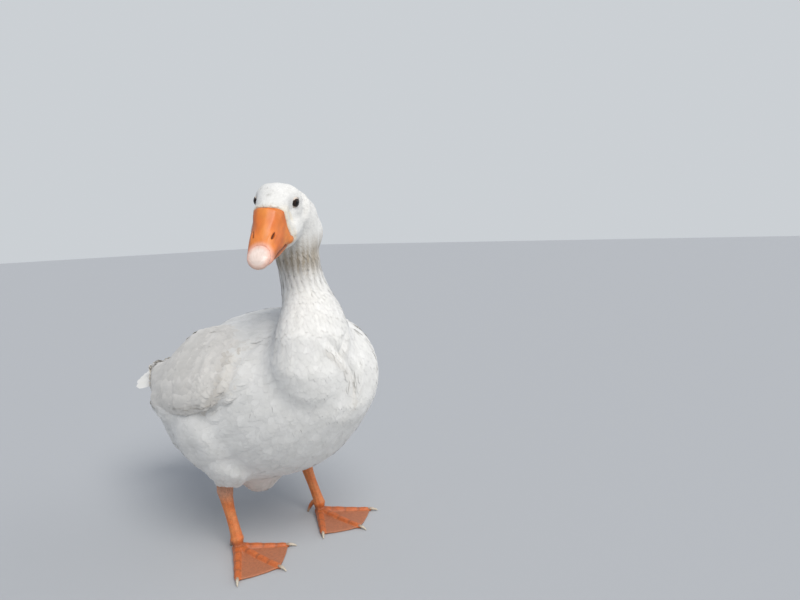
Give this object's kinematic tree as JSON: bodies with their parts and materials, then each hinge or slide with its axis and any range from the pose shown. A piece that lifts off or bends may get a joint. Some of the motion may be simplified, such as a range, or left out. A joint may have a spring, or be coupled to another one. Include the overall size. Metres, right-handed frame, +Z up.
{
  "type": "domestic goose",
  "caption": "White domestic goose, life size, standing with its head turned to its right: orange bill and webbed feet, folded wings, short tail.",
  "frame": {"origin": "middle of the bird's footprint box, on the floor its feet stand on", "axes": "+Z up; the trunk faces -Y, and the bird's own left side is +X"},
  "size_m": [0.3238, 0.5178, 0.5296],
  "materials": {
    "plumage": "soft white body feathers",
    "flight_feathers": "firm white wing and tail feathers",
    "bill": "orange horn, waxy",
    "bill_nail": "pale horn, smooth",
    "leg_skin": "orange scaled skin",
    "claws": "pale horn",
    "eyes": "wet, dark"
  },
  "bodies": {
    "root": {"trunk": "plumage", "neck_lower": "plumage", "neck_upper": "plumage", "head": "plumage", "tail": "flight_feathers", "wing_left": "flight_feathers", "wing_right": "flight_feathers", "thigh_left": "plumage", "thigh_right": "plumage", "shank_left": "leg_skin", "shank_right": "leg_skin", "foot_left": "leg_skin", "foot_right": "leg_skin", "claw_inner_left": "claws", "claw_middle_left": "claws", "claw_outer_left": "claws", "claw_inner_right": "claws", "claw_middle_right": "claws", "claw_outer_right": "claws", "bill_upper": "bill", "bill_lower": "bill", "bill_nail": "bill_nail", "eye_left": "eyes", "eye_right": "eyes"}
  },
  "joints": []
}
